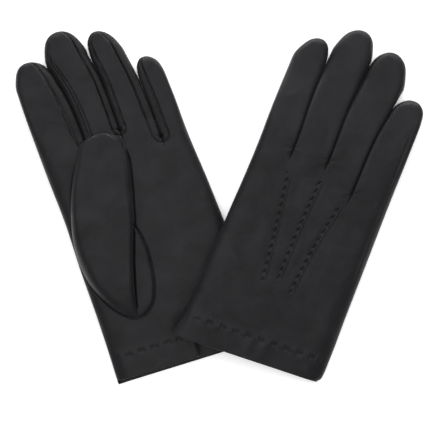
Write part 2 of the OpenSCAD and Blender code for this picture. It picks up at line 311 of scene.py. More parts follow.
def twisted_thread():
    """Waxed black thread: a tight diagonal twist."""
    material = bpy.data.materials.new("black_thread")
    material.use_nodes = True
    tree = material.node_tree
    thread = tree.nodes["Principled BSDF"]
    thread.inputs["Roughness"].default_value = 0.7
    thread.inputs["Specular IOR Level"].default_value = 0.15
    place = add(tree, "ShaderNodeTexCoord")
    twist = add(tree, "ShaderNodeTexWave", {"wave_type": "BANDS", "bands_direction": "DIAGONAL"},
                Scale=1500.0)
    tree.links.new(place.outputs["Object"], twist.inputs["Vector"])
    shade = blend_colour(tree, twist.outputs["Fac"], (0.003, 0.003, 0.003), (0.012, 0.012, 0.012))
    tree.links.new(shade, thread.inputs["Base Color"])
    bump = add(tree, "ShaderNodeBump", Strength=0.6, Distance=0.0001)
    tree.links.new(twist.outputs["Fac"], bump.inputs["Height"])
    tree.links.new(bump.outputs["Normal"], thread.inputs["Normal"])
    return material


jersey = knit()
sewing = twisted_thread()
print("cloths", jersey.name, sewing.name)

# %% [markdown]
# ## The table
# A plain pale board, large enough that the gloves never show its edge.

# %% Table
table_material = bpy.data.materials.new("pale_table")
table_material.use_nodes = True
table_tree = table_material.node_tree
table_board = table_tree.nodes["Principled BSDF"]
table_board.inputs["Base Color"].default_value = (0.95, 0.95, 0.95, 1)
table_board.inputs["Emission Color"].default_value = (1, 1, 1, 1)
table_board.inputs["Emission Strength"].default_value = 0.15
table_board.inputs["Roughness"].default_value = 0.8
bpy.ops.mesh.primitive_plane_add(size=6, location=(0, 0, cad_low[2] - 0.0002))
table = bpy.context.object
table.name = "table"
table.data.materials.append(table_material)
print("table at", round(1000 * table.location.z, 2), "mm")

# %% [markdown]
# ## The pattern
# A glove is drawn flat, in millimetres: x runs from the index side to the little finger, with 0 at
# the middle of the wrist, and y runs from the wrist to the fingertips. Four strips of leather lie
# side by side, one for each finger, from the wrist to the tip. Each edge between two strips is a
# curve through a few points. Below the crotch of two fingers their strips are one skin; above it
# they part. The gloves could also be drawn where they lie, but a flat pattern lets both of them
# share every rule that follows.

# %% Pattern of each glove
# edges: (y, x) points of the five edges; tips: x and y of a fingertip, and y of its shoulder;
# crotches: y; wrist: y of the back's edge, then of the palm's; sideways: lean of the middle line;
# middle_bend: where the hinge of the middle finger stands in the pattern.
PATTERN = {
    "left": dict(
        up="palm",
        edges=[
            [(0, -56.5), (50, -56.9), (86, -58.3), (121, -58.8), (157, -61.3), (193, -63.1), (220, -64)],
            [(0, -28), (100, -28), (150, -27.8), (175, -27.9), (193, -29.2), (211, -32.4), (228, -37.8)],
            [(0, 4.9), (20, 4.4), (40, 4.2), (100, 0), (172, -2), (193, -3), (211, -4.2), (232, -8.5)],
            [(0, 28), (100, 26), (159, 24.7), (175, 23.8), (205, 21.1), (222, 18)],
            [(0, 56.5), (50, 52.8), (93, 49.2), (121, 46.9), (157, 43.3), (184, 41.9), (203, 40.4)]],
        tips=[(-51.1, 237, 216), (-24.4, 251.7, 230), (1.5, 244, 223), (29.2, 216.9, 202)],
        crotches=(170, 172, 159), wrist=(0, 2.8), sideways=-0.06, middle_bend=(-16.1, 184)),
    "right": dict(
        up="back",
        edges=[
            [(6, -56.5), (23.5, -52), (57, -49.5), (93, -47.4), (147, -43.8), (182, -42.8), (209, -41.3)],
            [(6, -26), (100, -22), (156, -19), (200, -18.5), (231, -15.6)],
            [(6, 2), (100, 4), (157, 7), (191, 8.3), (222, 12.2), (236, 14)],
            [(6, 29), (100, 29.5), (147, 30.6), (182, 33.3), (209, 39)],
            [(6, 52.6), (8, 54.2), (12, 55.1), (22, 55.7), (57, 56.5), (93, 57.6), (129, 58.6),
             (157, 59.4), (182, 60.2), (204, 61)]],
        tips=[(-25.6, 236.4, 217), (0.8, 251.6, 229), (26.5, 244, 221), (51.1, 216.6, 201)],
        crotches=(155, 155, 140), wrist=(6, 7), sideways=0.042, middle_bend=(-5.9, 184)),
}
BENDS = (184, 184, 184, 171)
SPLITS = (173, 173, 173, 161)   # where the hand's skin is cut from each finger's
HEM_DEPTH = 16
WRIST_THICK, HAND_THICK, FINGER_THICK = 8.6, 11, 12
EDGE_SHARE = 0.36               # height of the folded edge, as a share of the thickness
GAP = 0.04                      # between two fingers that lie side by side
print("strips per glove:", len(FINGERS))


# %% Curves through points, and soft steps
def along(points, y):
    """x at each y on a smooth curve through (y, x) points; it runs on straight past its ends."""
    ys, xs = np.array(points, float).T
    y = np.asarray(y, float)
    slopes = np.gradient(xs, ys)
    k = np.clip(np.searchsorted(ys, y) - 1, 0, len(ys) - 2)
    run = ys[k + 1] - ys[k]
    t = np.clip((y - ys[k]) / run, 0, 1)
    bend = ((1 + 2 * t) * (1 - t) ** 2 * xs[k] + t * (1 - t) ** 2 * run * slopes[k]
            + t * t * (3 - 2 * t) * xs[k + 1] + t * t * (t - 1) * run * slopes[k + 1])
    return bend + np.where(y < ys[0], (y - ys[0]) * slopes[0], 0) + np.where(
        y > ys[-1], (y - ys[-1]) * slopes[-1], 0)


def soft_step(a, b, y):
    """0 before a, 1 after b, smooth between."""
    t = np.clip((np.asarray(y, float) - a) / (b - a), 0, 1)
    return t * t * (3 - 2 * t)


def bump_at(distance, width):
    """1 at no distance, fading over a width."""
    return np.exp(-(distance / width) ** 2)


# %% [markdown]
# ## Where each glove lies
# A pattern is laid on the table by one turn and one move. Both could be typed in, but the packed
# model already knows them: the hinge of the middle finger stands at a known place of the pattern,
# and its axis runs straight across it. So the skins stay on the model if the gloves are moved.

# %% Where a glove lies
def make_lay(glove):
    """Returns the function that takes pattern points to the table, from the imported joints."""
    bend = joints[glove + "_middle_bend"]
    turn = math.atan2(bend["axis"][1], bend["axis"][0])
    cos, sin = math.cos(turn), math.sin(turn)
    x0, y0 = PATTERN[glove]["middle_bend"]
    hinge = np.array(bend["pos_m"]) / MM
    origin = hinge[:2] - np.array([cos * x0 - sin * y0, sin * x0 + cos * y0])

    def lay(x, y, z):
        x, y, z = np.broadcast_arrays(x, y, z)
        raised = z + underside(glove, x, y)
        flat = np.stack([origin[0] + cos * x - sin * y, origin[1] + sin * x + cos * y, raised], -1)
        return flat * MM
    return lay


TUCK_HIGH = 0.8        # the left glove's hand stands on the tucks of its back
RIGHT_RISE = 17        # the right glove's index side lies on its thumb and on the other cuff
KNUCKLE_HALF = 51.7


def underside(glove, x, y):
    """Height of a glove's underside over the table."""
    if glove == "left":
        return TUCK_HIGH * (soft_step(20, 40, y) - soft_step(145, 180, y))
    across = (x - PATTERN[glove]["sideways"] * y) / (2 * KNUCKLE_HALF)
    return RIGHT_RISE * (0.5 - across) * (1 - soft_step(160, 222, y))


lay = {glove: make_lay(glove) for glove in GLOVES}
print("left wrist lies at mm", np.round(lay["left"](0, 0, 0) / MM, 1))
print("right wrist lies at mm", np.round(lay["right"](0, 6, 0) / MM, 1))

# %% [markdown]
# ## The shape of the skin
# The gloves could be inflated by a cloth simulation, but an empty glove is not a balloon: its skin
# keeps the flat shape that it was pressed to. So the height of the skin is a rule instead. It rises
# steeply from each folded edge to a nearly flat top. Near a crotch the rule changes from one wide
# hand to two separate fingers. Seams sink the skin, and a fixed set of slow waves makes it soft.

# %% Slow waves
rng = np.random.default_rng(11)
SHORTEST, LONGEST = 14, 46      # waves, in mm
WAVES = [(rng.uniform(0, 2 * math.pi), rng.uniform(0, 2 * math.pi), rng.uniform(SHORTEST, LONGEST))
         for _ in range(16)]


def undulation(x, y):
    """Soft unevenness of the skin, about -1 to 1."""
    total = 0
    for direction, phase, length in WAVES:
        run = x * math.cos(direction) + 0.8 * y * math.sin(direction)
        total = total + (length / LONGEST) * np.sin(2 * math.pi * run / length + phase)
    return total / 4


# %% Height of the skin over its folded edge
SHOULDER = 15         # how far from the hand's folded edge the skin still rises


def strip_sides(glove, i, y):
    """x of the two sides of finger i's strip, with the gap above each crotch."""
    pattern = PATTERN[glove]
    left, right = along(pattern["edges"][i], y), along(pattern["edges"][i + 1], y)
    if i > 0:
        crotch = pattern["crotches"][i - 1]
        left = left + GAP / 2 * soft_step(crotch - 0.5, crotch + 5, y)
    if i < 3:
        crotch = pattern["crotches"][i]
        right = right - GAP / 2 * soft_step(crotch - 0.5, crotch + 5, y)
    return left, right


def parting(glove, i, s, y, reach):
    """How far the hand has become separate fingers, at share s across strip i."""
    crotches = PATTERN[glove]["crotches"]
    outer = soft_step(crotches[min(i, 2)] - 10, crotches[min(i, 2)] + 45, y)
    left = outer if i == 0 else soft_step(crotches[i - 1] - reach, crotches[i - 1], y)
    right = outer if i == 3 else soft_step(crotches[i] - reach, crotches[i], y)
    return left + (right - left) * s


def crown(glove, i, s, x, y, tipness=0.0):
    """Rise of the skin, 0 at a folded edge and 1 on top, at share s across strip i.

    The powers set how square a section is: high ones for a flat top with steep sides.
    """
    edges = PATTERN[glove]["edges"]
    inward = np.minimum(x - along(edges[0], y), along(edges[4], y) - x)
    near = 1 - np.clip(inward / SHOULDER, 0, 1)
    hand = (1 - near ** 2.6) ** (1 / 1.9)
    power = 18 - 13 * soft_step(150, 228, y) - 1.6 * tipness
    wall = 4.2 - 2.0 * soft_step(190, 232, y)
    finger = np.clip(1 - np.abs(2 * s - 1) ** power, 0, 1) ** (1 / wall)
    parted = parting(glove, i, s, y, 8)
    valley = 0.07 * parting(glove, i, s, y, 24) * (1 - parted) * np.abs(2 * s - 1) ** 3
    valley = valley * np.clip(inward / SHOULDER, 0, 1)
    return (1 - parted) * (hand - valley) + parted * finger


def thickness(y):
    """Thickness of the whole glove, which grows from the flat wrist to the fingers."""
    return (WRIST_THICK + (HAND_THICK - WRIST_THICK) * soft_step(0, 70, y)
            + (FINGER_THICK - HAND_THICK) * soft_step(135, 175, y))


# %% Seams and hems pressed into the skin
# Three tucks on the back, the oval seam of the thumb, and the thumb itself, as (x, y) points.
POINTING = [[(-8.1, 62.8), (-11.3, 98.5), (-15.8, 137.7)],
            [(2.1, 68.1), (3.5, 98.5), (7.1, 139.5)],
            [(13.3, 61), (18.1, 93.1), (26.2, 128.8)]]
STITCH_PITCH = 9.5
POINT_PITCH = 5.9


def pointing_x(row, y):
    """x of the middle of a tuck, at y."""
    return along([(v, u) for u, v in row], y)


OVAL = [(-57.9, 94.6), (-56.9, 83.9), (-54.5, 75), (-50.3, 64.3), (-44, 53.6), (-36, 45), (-28.8, 41.2),
        (-21.7, 43), (-14.6, 50), (-10.3, 62.5), (-8.5, 76.8), (-8.5, 89.3), (-11, 101.7), (-18, 111),
        (-32, 114), (-48, 108)]
OVAL_DEPTH, OVAL_WIDTH = 1.9, 0.55
OVAL_HEART = (-24, 76)
FEET = {"left": (165, 167.8, 154.4), "right": (147.5, 150.2, 135.4)}  # y of each U-shaped seam's bottom
FOOT_HALF = (6.2, 4.8, 5.9)
PIT_DEPTH, PIT_WIDTH = 3.4, 1.25      # the hollow at each crotch
THUMB = [   # station, then x and y of the thumb's outer side, then x and y of its crease side
    (0, -30, 41.5, -27.6, 41.5), (0.06, -38, 46.5, -27.6, 49), (0.14, -46, 56.5, -26, 57),
    (0.22, -51.8, 67, -23.6, 67), (0.32, -55.8, 79, -20.5, 79), (0.42, -57.3, 92, -16.6, 91.5),
    (0.52, -56.2, 106.5, -12.4, 105), (0.62, -52.8, 121, -8.6, 120), (0.72, -47.9, 136, -5.2, 135),
    (0.82, -41.3, 151, -2.4, 150.5), (0.90, -35.2, 161.5, -3, 161.5)]
THUMB_TIP = (-18.6, 173.2)
OUTER_SIDE = [(row[2], row[1]) for row in THUMB]
CREASE_SIDE = [(row[4], row[3]) for row in THUMB]


def oval_points(count):
    """Evenly spread points of the oval seam of the thumb, closed."""
    ring = np.array(OVAL + OVAL[:3])
    index = np.arange(len(ring))
    t = np.linspace(1, len(OVAL) + 1, count, endpoint=False)
    return np.stack([along(np.stack([index, ring[:, k]], 1), t) for k in (0, 1)], -1)


PALM_LEAN, PALM_SHIFT = 0.102, 4.5    # of the right palm, against the left one


def to_glove(glove, x, y):
    """The left glove's palm outline, moved to fit the other glove's palm."""
    return (x, y) if glove == "left" else (x + PALM_LEAN * y + PALM_SHIFT, y)


def seam_distance(x, y, ring):
    """Distance of each point to a closed seam."""
    flat = np.stack([np.ravel(x), np.ravel(y)], -1)
    nearest = np.full(len(flat), 1e9)
    for a, b in zip(ring, np.roll(ring, -1, 0)):
        run = b - a
        t = np.clip((flat - a) @ run / (run @ run), 0, 1)
        nearest = np.minimum(nearest, np.linalg.norm(flat - a - t[:, None] * run, axis=1))
    return nearest.reshape(np.shape(x))


def palm_seams(glove, x, y):
    """Depth of the oval seam and of the three U-shaped seams below the crotches."""
    shift = to_glove(glove, 0, y)[0]
    far = seam_distance(x - shift, y, oval_points(60))
    depth = OVAL_DEPTH * bump_at(far, OVAL_WIDTH)
    # the thumb's two sides: a deep crease, and a faint line where its outer edge rests
    past_tip = 1 - soft_step(150, 160, y)
    crease = (2.3 - 1.1 * soft_step(98, 104, y)) * soft_step(46, 54, y) * past_tip
    depth = depth + crease * bump_at(x - shift - along(CREASE_SIDE, y) - 0.6, 0.8)
    outer = 0.5 * soft_step(98, 104, y) * past_tip
    depth = depth + outer * bump_at(x - shift - along(OUTER_SIDE, y) + 0.7, 0.9)
    # a U-shaped seam and a hollow at each crotch
    for k, bottom in enumerate(FEET[glove]):
        half = FOOT_HALF[k]
        middle = along(PATTERN[glove]["edges"][k + 1], y)
        far = np.abs(np.hypot(x - middle, np.minimum(y - bottom - half, 0)) - half)
        depth = depth + bump_at(far, 0.45) * soft_step(bottom - 4, bottom, y)
        pit = np.hypot(x - middle, y - PATTERN[glove]["crotches"][k])
        depth = depth + PIT_DEPTH * bump_at(pit, PIT_WIDTH)
    return depth


def pressed(glove, x, y, face):
    """Depth in mm to which sewing sinks the skin of one face, palm or back, less its puckers."""
    wrist = PATTERN[glove]["wrist"][face == "palm"]
    above = y - wrist - HEM_DEPTH
    # the skin swells on both sides of the hem's seam, sinks at each stitch and puckers between two
    depth = -0.15 * bump_at(above - 2.6, 1.8) - 0.3 * bump_at(above + 4, 4)
    beat = np.cos(2 * math.pi * (x / STITCH_PITCH - 0.5))
    sunk = soft_step(-0.35, 0.15, beat)
    sway = 0.35 * np.sin(0.9 * x) + 0.25 * np.sin(2.3 * x + 1)
    depth = depth + 0.5 * sunk * bump_at(above - sway, 1.1) - 0.35 * (1 - sunk) * bump_at(above, 2.4)
    # uneven folds that run up and down the hem
    depth = depth + 0.22 * np.sin(0.31 * x + 2 * np.sin(0.12 * x)) * soft_step(-16, -9, above) * (above < 0)
    if face == "palm":
        depth = depth + palm_seams(glove, x, y)
        lip = along(PATTERN[glove]["edges"][2], y) - x
        depth = depth - 0.55 * bump_at(lip - 0.9, 0.7) * (1 - soft_step(17, 24, y - wrist))
    if face == "back":
        shift = PATTERN[glove]["sideways"] - PATTERN["right"]["sideways"]
        for row in POINTING:
            first, last = row[0][1], row[-1][1]
            along_row = soft_step(first - 2, first, y) * (1 - soft_step(last, last + 2, y))
            aside = x - shift * y - pointing_x(row, y)
            phase = 2 * math.pi * (y - row[0][1]) / POINT_PITCH
            slit = soft_step(-0.25, 0.35, np.cos(phase)) * bump_at(aside + 0.9 - 0.45 * np.sin(phase), 0.62)
            depth = depth + along_row * (0.95 * slit + 0.15 * bump_at(np.abs(aside) - 2.2, 1.2))
        # the seam beside the little finger's edge
        rim = along(PATTERN[glove]["edges"][4], y) - x
        seam = soft_step(75, 100, y) * (1 - soft_step(180, 200, y))
        depth = depth + seam * (0.8 * bump_at(rim - 4.6, 0.55) - 0.3 * bump_at(rim - 3, 1.0))
    return depth


def skin(glove, i, s, x, y, face, tipness=0.0, sewn=True):
    """Height over the underside of the palm's or the back's skin, with or without its seams."""
    rise = crown(glove, i, s, x, y, tipness)
    thick = thickness(y)
    edge = EDGE_SHARE * thick
    soft = np.clip(rise * 1.6 - 0.5, 0, 1)      # no relief on the steep sides
    relief = soft * (0.42 * undulation(x, y) - (pressed(glove, x, y, face) if sewn else 0))
    relief = relief + 0.5 * tipness * undulation(3.1 * x + 40 * i, 2.3 * y)
    # short pulls spread like a star from each crotch
    for k, crotch in enumerate(PATTERN[glove]["crotches"]):
        cx = along(PATTERN[glove]["edges"][k + 1], crotch)
        far = np.hypot(x - cx, y - crotch)
        angle = np.arctan2(y - crotch, x - cx)
        relief = relief + soft * 0.45 * np.cos(5 * angle + k) * np.exp(-far / 4)
    if face == PATTERN[glove]["up"]:
        return edge + (thick - edge) * rise + relief
    return edge * (1 - np.clip(rise, 0, 1) ** 0.6) + 0.12 * soft * (1 + undulation(y, x))


def skin_at(glove, x, y, face, sewn=True):
    """The same height at any points of the hand, whichever strip they lie in."""
    x, y = np.broadcast_arrays(np.asarray(x, float), np.asarray(y, float))
    height = np.zeros(x.shape)
    for i in range(4):
        left, right = strip_sides(glove, i, y)
        low = -1e9 if i == 0 else along(PATTERN[glove]["edges"][i], y)
        high = 1e9 if i == 3 else along(PATTERN[glove]["edges"][i + 1], y)
        s = np.clip((x - left) / (right - left), 0, 1)
        height = np.where((x >= low) & (x < high), skin(glove, i, s, x, y, face, sewn=sewn), height)
    return height


print("palm is", round(float(skin_at("left", 0.0, 90.0, "palm")), 1), "mm over the table side")


# %% Meshes from grids of points
def grid_faces(rows, columns, start, turned):
    """Four-sided faces between the neighbours of a grid of points, which start at one number."""
    faces = []
    for r in range(rows - 1):
        for c in range(columns - 1):
            a = start + r * columns + c
            quad = (a, a + 1, a + columns + 1, a + columns)
            faces.append(quad[::-1] if turned else quad)
    return faces


WELD = 0.01 * MM


def skin_mesh(name, grids, material):
    """One smooth mesh from several (points, turned) grids, sewn where their points meet."""
    points, faces = [], []
    for grid, turned in grids:
        rows, columns = grid.shape[:2]
        faces += grid_faces(rows, columns, sum(len(p) for p in points), turned)
        points.append(grid.reshape(-1, 3))
    mesh = bpy.data.meshes.new(name)
    mesh.from_pydata(np.concatenate(points).tolist(), [], faces)
    work = bmesh.new()
    work.from_mesh(mesh)
    bmesh.ops.remove_doubles(work, verts=work.verts, dist=WELD)
    bmesh.ops.dissolve_degenerate(work, edges=work.edges, dist=WELD)
    for face in work.faces:
        face.smooth = True
    work.to_mesh(mesh)
    work.free()
    mesh.materials.append(material)
    piece = bpy.data.objects.new(name, mesh)
    bpy.context.scene.collection.objects.link(piece)
    return piece


def spread(count):
    """Shares from 0 to 1 that crowd towards both ends, where a skin turns over its edge."""
    return (1 - np.cos(np.linspace(0, math.pi, count))) / 2


# %% [markdown]
# ## The hand
# The trank's hand runs from the wrist to just past the crotches. At the wrist the skin is turned
# in over 16 mm, so the drawing starts inside the glove, runs down to the fold and comes up outside.
# The palm has a vent at the wrist: a V-shaped slit that lets the hand in. One bent sheet could make
# it all, but a grid for each strip can be sewn to its neighbours and split where the fingers part.

# %% Hand skin
COLUMNS = {True: 72, False: 34}      # for the face that is up, and for the one that lies down
ROW_STEP = {True: 0.85, False: 1.9}
ROLL = 0.9                           # radius of the fold at the wrist
VENT_TOP, VENT_WIDE = 25, 12
PLAIN_FROM = 22                      # over the wrist's edge; evenly spaced rows start here


def hand_rows(glove, face, i):
    """y of each row of points: close together at the fold, at the hem and at each crotch."""
    wrist = PATTERN[glove]["wrist"][face == "palm"]
    near_hem = wrist + HEM_DEPTH + np.array([-3, -2, -1.2, -0.6, 0, 0.6, 1.2, 2, 3, 4])
    steps = np.concatenate([
        wrist + np.array([0, 0.3, 0.8, 1.5, 2.5, 4, 6, 8, 10]), near_hem,
        np.arange(wrist + PLAIN_FROM, max(SPLITS), ROW_STEP[face == PATTERN[glove]["up"]]),
        np.add.outer(PATTERN[glove]["crotches"], [-0.8, 0, 0.8]).ravel(),
        np.subtract.outer(SPLITS, [0.8, 0]).ravel()])
    steps = np.unique(np.round(steps, 2))
    return steps[steps <= SPLITS[i]]


def vent_shift(glove, i, y, face):
    """How far the vent opens strip 2 away from strip 1 at the wrist of the palm."""
    if face != "palm" or i != 2:
        return 0 * y
    return VENT_WIDE * np.clip(1 - (y - PATTERN[glove]["wrist"][1]) / VENT_TOP, 0, 1)


def strip_grid(glove, i, rows, face, shares, inward=0.0):
    """Points of strip i's skin on one face; inward moves it inside the glove."""
    left, right = strip_sides(glove, i, rows)
    shift = vent_shift(glove, i, rows, face)
    crotches = PATTERN[glove]["crotches"]
    inset_left = inward * (1 if i == 0 else soft_step(crotches[i - 1] - 9, crotches[i - 1] - 3, rows))
    near_right = crotches[min(i, 2)]
    inset_right = inward * (1 if i == 3 else soft_step(near_right - 9, near_right - 3, rows))
    s, y = np.meshgrid(shares, rows)
    low, high = left + shift + inset_left, right - inset_right
    x = low[:, None] + (high - low)[:, None] * s
    s_true = (x - left[:, None]) / (right - left)[:, None]
    z = skin(glove, i, s_true, x, y, face)
    if inward:
        middle = EDGE_SHARE * thickness(y)
        z = np.sign(z - middle) * np.maximum(np.abs(z - middle) - inward, 0) + middle
    return x, y, z


def turned_in(glove, i, face, shares):
    """The hem that is folded to the inside, as points ready to join the outer skin."""
    wrist = PATTERN[glove]["wrist"][face == "palm"]
    rows = wrist + np.array([HEM_DEPTH + 1, 12, 8, 4, 2, 1.0])
    x, y, z = strip_grid(glove, i, rows, face, shares, 2 * ROLL)
    around = np.array([40, 80, 120, 150]) * math.pi / 180
    at_edge = np.full(len(around), float(wrist))
    x0, y0, z0 = strip_grid(glove, i, at_edge, face, shares, 0)
    xi, _, zi = strip_grid(glove, i, at_edge, face, shares, 2 * ROLL)
    share = (0.5 + 0.5 * np.cos(around))[:, None]
    drop = (ROLL * np.sin(around))[:, None]
    fold = (x0 + (xi - x0) * share, y0 - drop + ROLL, z0 + (zi - z0) * share)
    return [np.concatenate([a, b]) for a, b in zip((x, y, z), fold)]


def hand_skin(glove):
    """The trank's hand: eight strips, four on each face, with their turned hem."""
    grids = []
    for i in range(4):
        for face in ("palm", "back"):
            shares = spread(COLUMNS[face == PATTERN[glove]["up"]])
            rows = hand_rows(glove, face, i)
            x, y, z = strip_grid(glove, i, rows, face, shares)
            y = y + ROLL * np.clip(1 - (y - rows[0]) / 4, 0, 1)
            inner = turned_in(glove, i, face, shares)
            x, y, z = [np.concatenate([a, b]) for a, b in zip(inner, (x, y, z))]
            grids.append((lay[glove](x, y, z), face != PATTERN[glove]["up"]))
    piece = skin_mesh(glove + "_hand_skin", grids, glove_leather)
    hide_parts(glove + "_trank", *[f"{glove}_{finger}_root" for finger in FINGERS])
    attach(piece, glove + "_hand")
    print(piece.name, len(piece.data.polygons), "faces")


for glove in GLOVES:
    hand_skin(glove)

# %% [markdown]
# ## The fingers
# A finger is a palm strip and a back strip of the main skin, with a fourchette sewn in on each side
# where it has a neighbour. A round tube would be simpler, but an empty finger is flat and folded.
# The strips stop in the round fingertip, where the seams run together. The seams are sewn inside
# out, so each shows as a fine valley between two soft lips. The fingers are cut from the hand a
# little above the crotches, below the hinges.

# %% Finger sections
SEAMS = ((0.0, 0.78), (0.155, 0.82), (0.16, 0.755), (0.27, 1.0))   # palm seams as shares across
TIP_ANGLES = np.array([10, 20, 30, 39, 48, 56, 63, 69, 74, 78.5, 82, 85, 87.5, 89.5]) * math.pi / 180
LIP, VALLEY = 0.12, 0.7     # height and depth of a seam
PALM_COLUMNS, BACK_COLUMNS, LEG_COLUMNS, LINING_COLUMNS = 44, 48, 14, 20
FINGER_INSET, THUMB_INSET, HAND_INSET = 1.4, 1.5, 2.0     # of each lining, inside the leather


def finger_stations(glove, i):
    """Rows of a finger: y, left side, right side, how round, and the height that is left."""
    tip_x, tip_y, shoulder = PATTERN[glove]["tips"][i]
    straight = np.unique(np.concatenate([SPLITS[i] + np.array([0, 0.15, 0.4]),
                                         np.arange(SPLITS[i] + 1, shoulder, 1.1), [shoulder]]))
    left, right = strip_sides(glove, i, straight)
    middle, half = (left[-1] + right[-1]) / 2, (right[-1] - left[-1]) / 2
    y = shoulder + (tip_y - shoulder) * np.sin(TIP_ANGLES)
    centre = middle + (tip_x - middle) * np.sin(TIP_ANGLES) ** 1.3
    centre = centre + 0.15 * np.sin(3 * TIP_ANGLES + 2 * i) * np.sin(2 * TIP_ANGLES)
    width = half * np.cos(TIP_ANGLES) ** 0.92 * (1 + 0.015 * np.sin(7 * TIP_ANGLES + i))
    rounding = np.cos(TIP_ANGLES) ** 0.55
    return (np.concatenate([straight, y]), np.concatenate([left, centre - width]),
            np.concatenate([right, centre + width]),
            np.concatenate([0 * straight, np.sin(TIP_ANGLES)]),
            np.concatenate([1 + 0 * straight, rounding]))


def finger_grid(glove, i, face, shares, inward=0.0, seams=()):
    """Points across one face of a finger, with a fine valley at each seam share."""
    y, left, right, tipness, left_over = finger_stations(glove, i)
    s = np.broadcast_to(shares, (len(y), len(shares)))
    x = left[:, None] + (right - left)[:, None] * s
    yy = np.broadcast_to(y[:, None], x.shape)
    z = skin(glove, i, s, x, yy, face, tipness[:, None])
    middle = EDGE_SHARE * thickness(yy)
    z = middle + (z - middle) * left_over[:, None]
    outward = 1 if face == PATTERN[glove]["up"] else -1
    fade = soft_step(SPLITS[i], SPLITS[i] + 3, yy) * left_over[:, None]
    for seam in seams:
        wobble = 0.22 * np.sin(0.55 * yy + 20 * seam) + 0.1 * np.sin(1.7 * yy + i)
        aside = np.abs((s - seam) * (right - left)[:, None] + wobble * fade)
        z = z - outward * fade * (VALLEY * bump_at(aside, 0.36) - LIP * bump_at(aside - 1.4, 0.8))
    if inward:
        centre, half = (left + right)[:, None] / 2, (right - left)[:, None] / 2
        x = centre + (x - centre) * np.maximum(half - inward, 0.05) / np.maximum(half, 0.05)
        z = middle + np.sign(z - middle) * np.maximum(np.abs(z - middle) - inward, 0.0)
        yy = yy - inward * tipness[:, None]
    return lay[glove](x, yy, z)


BLEND_ASIDE, BLEND_HIGH = 12, 4       # the blend's line, from a finger's edge and its underside


def bend_with_finger(piece, glove, i):
    """Works out the blend's line from the root past the hinge, which is not used, and bakes the piece's
    placement into its mesh.
    """
    x = along(PATTERN[glove]["edges"][i], BENDS[i]) + BLEND_ASIDE
    start, end = lay[glove](x, [SPLITS[i] + 0.5, 2 * BENDS[i] - SPLITS[i] + 2], BLEND_HIGH)
    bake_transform(piece)


def finger_skin(glove, i):
    """The palm strip between the seams and the back strip, which meet at the tip."""
    low, high = SEAMS[i]
    palm = low + (high - low) * spread(PALM_COLUMNS)
    marks = [m for m in SEAMS[i] if 0 < m < 1]
    grids = [(finger_grid(glove, i, "palm", palm, seams=marks), PATTERN[glove]["up"] != "palm"),
             (finger_grid(glove, i, "back", spread(BACK_COLUMNS)), PATTERN[glove]["up"] != "back")]
    piece = skin_mesh(f"{glove}_{FINGERS[i]}_finger_skin", grids, glove_leather)
    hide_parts(f"{glove}_{FINGERS[i]}_leather")
    bend_with_finger(piece, glove, i)


def fourchette_legs(glove, i):
    """The strips beside the palm strip: one leg on an outer finger, two on an inner one."""
    low, high = SEAMS[i]
    marks = [m for m in SEAMS[i] if 0 < m < 1]
    grids = []
    for a, b in ((0, low), (high, 1)):
        if b > a:
            leg = finger_grid(glove, i, "palm", a + (b - a) * spread(LEG_COLUMNS), seams=marks)
            grids.append((leg, PATTERN[glove]["up"] != "palm"))
    piece = skin_mesh(f"{glove}_{FINGERS[i]}_fourchettes_skin", grids, strip_leather)
    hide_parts(f"{glove}_{FINGERS[i]}_fourchettes")
    bend_with_finger(piece, glove, i)


def finger_lining(glove, i):
    """The jersey inside one finger."""
    shares = spread(LINING_COLUMNS)
    grids = [(finger_grid(glove, i, face, shares, inward=FINGER_INSET), PATTERN[glove]["up"] != face)
             for face in ("palm", "back")]
    piece = skin_mesh(f"{glove}_{FINGERS[i]}_finger_lining", grids, jersey)
    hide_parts(f"{glove}_{FINGERS[i]}_lining")
    bend_with_finger(piece, glove, i)


for glove in GLOVES:
    for i in range(4):
        finger_skin(glove, i)
        fourchette_legs(glove, i)
        finger_lining(glove, i)
    print(glove, "fingers made")

# %% [markdown]
# ## The thumb
# The thumb is its own piece of skin, sewn into an oval hole in the palm. It folds over the palm: on
# one side it rises from the oval's seam, on the other it ends in a long deep crease. The rest of
# the oval is a patch that lies almost level with the palm. The thumb could be modelled by hand from
# a flattened ball, but then its root would not follow the oval. So it is lofted along stations that
# give its two sides, and its height is a rule of the distance to each side.

# %% Outline of the thumb and of its oval
PALM_TO_THUMB = 0.6
PALM_END = 140      # past this the thumb's tip bridges the valleys between the fingers


def over_palm(glove, x, y, height):
    """Places points at a height over the palm's skin, which faces the table on the right glove."""
    level = skin_at(glove, *to_glove(glove, x, np.minimum(y, PALM_END)), "palm", sewn=False)
    x, y = to_glove(glove, x, y)
    side = 1 if glove == "left" else -PALM_TO_THUMB
    return lay[glove](x, y, level + side * height)


# %% Thumb skin
THUMB_RISE = [
    (0, 0.2), (0.06, 3.0), (0.14, 5.2), (0.22, 6.8), (0.32, 8.0), (0.42, 8.8), (0.55, 9.2), (1, 8.6)]
OUTER_EDGE = [(0, -0.6), (0.25, -0.5), (0.34, 0.4), (0.45, 2.6), (0.6, 4.8), (1, 5)]
CREASE_EDGE = [(0, -0.6), (0.06, -0.5), (0.16, 0.6), (0.3, 2.6), (0.5, 4.2), (1, 4.8)]
UNDER = [(0, -1.3), (0.3, -1.1), (0.42, 0.4), (0.55, 1.0), (1, 1.2)]
TIP_FROM = THUMB[-1][0]                       # share of the thumb where its round tip begins
THUMB_BEND = ((-30.0, 56.0), (-22.0, 124.0))  # where the palm's hold on the thumb starts and ends


